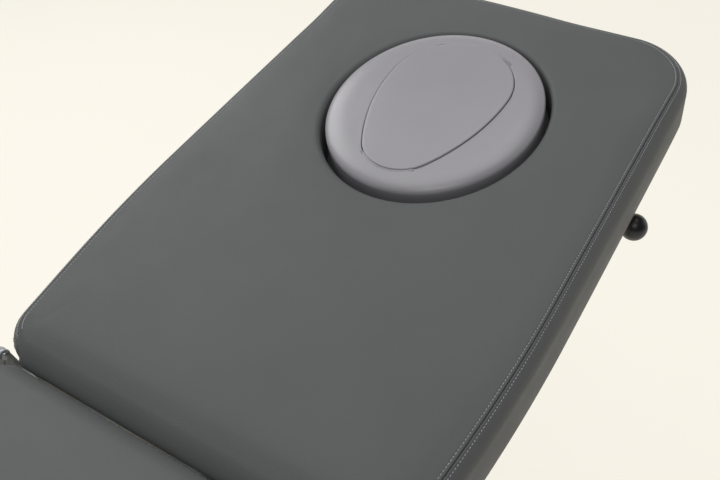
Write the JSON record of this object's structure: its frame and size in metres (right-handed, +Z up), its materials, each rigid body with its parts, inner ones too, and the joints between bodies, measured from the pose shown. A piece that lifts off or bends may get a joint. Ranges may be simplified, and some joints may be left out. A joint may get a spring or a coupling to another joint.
{
  "type": "electric therapy table",
  "caption": "Height-adjustable two-section therapy table with a raised back section, an oval head insert, lifting columns and a base on feet with retractable castors.",
  "frame": {"origin": "on the floor, under the middle of the table's outline at rest", "axes": "+Z up, +Y towards the head end, +X to the right of a person lying on their back with the head at +Y seen from above"},
  "size_m": [0.6929, 1.9414, 0.8696],
  "materials": {
    "upholstery": "satin",
    "insert_cover": "satin",
    "plywood": "matte",
    "black_plastic": "satin",
    "grey_plastic": "matte",
    "frame_paint": "satin",
    "black_paint": "satin",
    "column_aluminium": "satin",
    "bright_steel": "satin",
    "nut_plastic": "matte",
    "castor_tread": "matte",
    "foot_rubber": "matte"
  },
  "bodies": {
    "base": {"base_frame": "frame_paint", "rail_caps": "black_plastic", "shaft_bushes": "black_plastic", "levelling_feet": "foot_rubber", "foot_lock_nuts": "bright_steel", "column_base_plates": "frame_paint", "gearbox_foot": "grey_plastic", "gearbox_head": "grey_plastic", "motor_foot": "grey_plastic", "motor_head": "grey_plastic", "column_outer_foot": "column_aluminium", "column_outer_head": "column_aluminium", "outer_glides": "black_plastic", "control_box": "black_plastic", "mains_inlet": "black_plastic", "foot_bar_brackets": "black_plastic"},
    "middle_stages": {"column_middle_foot": "column_aluminium", "column_middle_head": "column_aluminium", "middle_nuts": "nut_plastic", "middle_glides": "black_plastic"},
    "table_top": {"column_inner_foot": "column_aluminium", "column_inner_head": "column_aluminium", "inner_nuts": "nut_plastic", "column_top_plates": "frame_paint", "upper_frame": "frame_paint", "seat_board": "plywood", "seat_pad": "upholstery", "seat_board_screws": "bright_steel", "seat_hinge_plates": "frame_paint", "hinge_pins": "bright_steel", "gas_spring_base_pin": "bright_steel"},
    "back_section": {"back_frame": "frame_paint", "back_board": "plywood", "back_pad": "upholstery", "back_board_screws": "bright_steel", "back_hinge_plates": "frame_paint", "gas_spring_top_pin": "bright_steel", "lever_bearings": "black_plastic"},
    "gas_cylinder": {"gas_spring_cylinder": "black_paint"},
    "gas_rod": {"gas_spring_rod": "bright_steel"},
    "release_lever": {"release_lever": "bright_steel", "release_knobs": "black_plastic"},
    "head_insert": {"head_insert": "insert_cover"},
    "face_plug": {"face_plug": "insert_cover"},
    "lift_screw_foot": {"lift_screw_foot": "bright_steel"},
    "tube_screw_foot": {"tube_screw_foot": "bright_steel"},
    "lift_screw_head": {"lift_screw_head": "bright_steel"},
    "tube_screw_head": {"tube_screw_head": "bright_steel"},
    "castor_lift_foot": {"castor_shaft_foot": "frame_paint"},
    "castor_foot_left": {"castor_fork_foot_left": "bright_steel"},
    "wheel_foot_left": {"castor_wheel_foot_left": "castor_tread"},
    "castor_foot_right": {"castor_fork_foot_right": "bright_steel"},
    "wheel_foot_right": {"castor_wheel_foot_right": "castor_tread"},
    "castor_lift_head": {"castor_shaft_head": "frame_paint"},
    "castor_head_left": {"castor_fork_head_left": "bright_steel"},
    "wheel_head_left": {"castor_wheel_head_left": "castor_tread"},
    "castor_head_right": {"castor_fork_head_right": "bright_steel"},
    "wheel_head_right": {"castor_wheel_head_right": "castor_tread"},
    "foot_bar_left": {"foot_bar_left": "bright_steel"},
    "foot_bar_right": {"foot_bar_right": "bright_steel"}
  },
  "joints": [
    {"name": "lift_middle", "type": "slide", "parent": "base", "child": "middle_stages", "axis": [0, 0, 1], "range_m": [-0.075, 0.12]},
    {"name": "lift_top", "type": "slide", "parent": "middle_stages", "child": "table_top", "axis": [0, 0, 1], "range_m": [-0.075, 0.12]},
    {"name": "lift_screw_spin_foot", "type": "hinge", "parent": "base", "child": "lift_screw_foot", "pos_m": [0, -0.47, 0.08], "axis": [0, 0, 1], "range_deg": [-3376, 5401]},
    {"name": "tube_screw_spin_foot", "type": "hinge", "parent": "middle_stages", "child": "tube_screw_foot", "pos_m": [0, -0.47, 0.175], "axis": [0, 0, 1], "range_deg": [-3376, 5401]},
    {"name": "lift_screw_spin_head", "type": "hinge", "parent": "base", "child": "lift_screw_head", "pos_m": [0, -0.14, 0.08], "axis": [0, 0, 1], "range_deg": [-3376, 5401]},
    {"name": "tube_screw_spin_head", "type": "hinge", "parent": "middle_stages", "child": "tube_screw_head", "pos_m": [0, -0.14, 0.175], "axis": [0, 0, 1], "range_deg": [-3376, 5401]},
    {"name": "back_tilt", "type": "hinge", "parent": "table_top", "child": "back_section", "pos_m": [0, 0.09234, 0.61], "axis": [1, 0, 0], "range_deg": [-16, 44]},
    {"name": "gas_spring_swing", "type": "hinge", "parent": "table_top", "child": "gas_cylinder", "pos_m": [0, -0.00966, 0.476], "axis": [1, 0, 0], "range_deg": [-8.37, 22.14]},
    {"name": "gas_spring_stroke", "type": "slide", "parent": "gas_cylinder", "child": "gas_rod", "axis": [0, 0.9893, 0.1457], "range_m": [-0.02928, 0.07878]},
    {"name": "release_lever_turn", "type": "hinge", "parent": "back_section", "child": "release_lever", "pos_m": [0, 0.50275, 0.6299], "axis": [1, 0, 0], "range_deg": [-6, 0], "stiffness_Nm_per_rad": 12, "springref_deg": 14.32},
    {"name": "insert_lift", "type": "slide", "parent": "back_section", "child": "head_insert", "axis": [0, -0.2756, 0.9613], "range_m": [0, 0.12]},
    {"name": "plug_lift", "type": "slide", "parent": "head_insert", "child": "face_plug", "axis": [0, -0.2756, 0.9613], "range_m": [0, 0.12]},
    {"name": "castor_pedal_foot", "type": "hinge", "parent": "base", "child": "castor_lift_foot", "pos_m": [0, -0.61, 0.06], "axis": [1, 0, 0], "range_deg": [0, 11]},
    {"name": "castor_swivel_foot_left", "type": "hinge", "parent": "castor_lift_foot", "child": "castor_foot_left", "pos_m": [-0.262, -0.71378, 0.10258], "axis": [0, 0.1908, 0.9816], "continuous": true},
    {"name": "wheel_spin_foot_left", "type": "hinge", "parent": "castor_foot_left", "child": "wheel_foot_left", "pos_m": [-0.262, -0.69907, 0.04726], "axis": [1, 0, 0], "continuous": true},
    {"name": "castor_swivel_foot_right", "type": "hinge", "parent": "castor_lift_foot", "child": "castor_foot_right", "pos_m": [0.262, -0.71378, 0.10258], "axis": [0, 0.1908, 0.9816], "continuous": true},
    {"name": "wheel_spin_foot_right", "type": "hinge", "parent": "castor_foot_right", "child": "wheel_foot_right", "pos_m": [0.262, -0.69907, 0.04726], "axis": [1, 0, 0], "continuous": true},
    {"name": "castor_pedal_head", "type": "hinge", "parent": "base", "child": "castor_lift_head", "pos_m": [0, 0.31, 0.06], "axis": [1, 0, 0], "range_deg": [-11, 0]},
    {"name": "castor_swivel_head_left", "type": "hinge", "parent": "castor_lift_head", "child": "castor_head_left", "pos_m": [-0.262, 0.41378, 0.10258], "axis": [0, -0.1908, 0.9816], "continuous": true},
    {"name": "wheel_spin_head_left", "type": "hinge", "parent": "castor_head_left", "child": "wheel_head_left", "pos_m": [-0.262, 0.39907, 0.04726], "axis": [1, 0, 0], "continuous": true},
    {"name": "castor_swivel_head_right", "type": "hinge", "parent": "castor_lift_head", "child": "castor_head_right", "pos_m": [0.262, 0.41378, 0.10258], "axis": [0, -0.1908, 0.9816], "continuous": true},
    {"name": "wheel_spin_head_right", "type": "hinge", "parent": "castor_head_right", "child": "wheel_head_right", "pos_m": [0.262, 0.39907, 0.04726], "axis": [1, 0, 0], "continuous": true},
    {"name": "foot_bar_left_turn", "type": "hinge", "parent": "base", "child": "foot_bar_left", "pos_m": [-0.242, -0.15, 0.072], "axis": [0, 1, 0], "range_deg": [-5, 5], "stiffness_Nm_per_rad": 30},
    {"name": "foot_bar_right_turn", "type": "hinge", "parent": "base", "child": "foot_bar_right", "pos_m": [0.242, -0.15, 0.072], "axis": [0, 1, 0], "range_deg": [-5, 5], "stiffness_Nm_per_rad": 30}
  ],
  "couplings": [
    {"joint": "lift_top", "follows": "lift_middle", "ratio": 1},
    {"joint": "lift_screw_spin_foot", "follows": "lift_middle", "rad_per_m": 785.4},
    {"joint": "tube_screw_spin_foot", "follows": "lift_middle", "rad_per_m": 785.4},
    {"joint": "lift_screw_spin_head", "follows": "lift_middle", "rad_per_m": 785.4},
    {"joint": "tube_screw_spin_head", "follows": "lift_middle", "rad_per_m": 785.4},
    {"joint": "gas_spring_swing", "follows": "back_tilt", "ratio": 0.49178},
    {"joint": "gas_spring_stroke", "follows": "back_tilt", "m_per_rad": 0.10128}
  ]
}
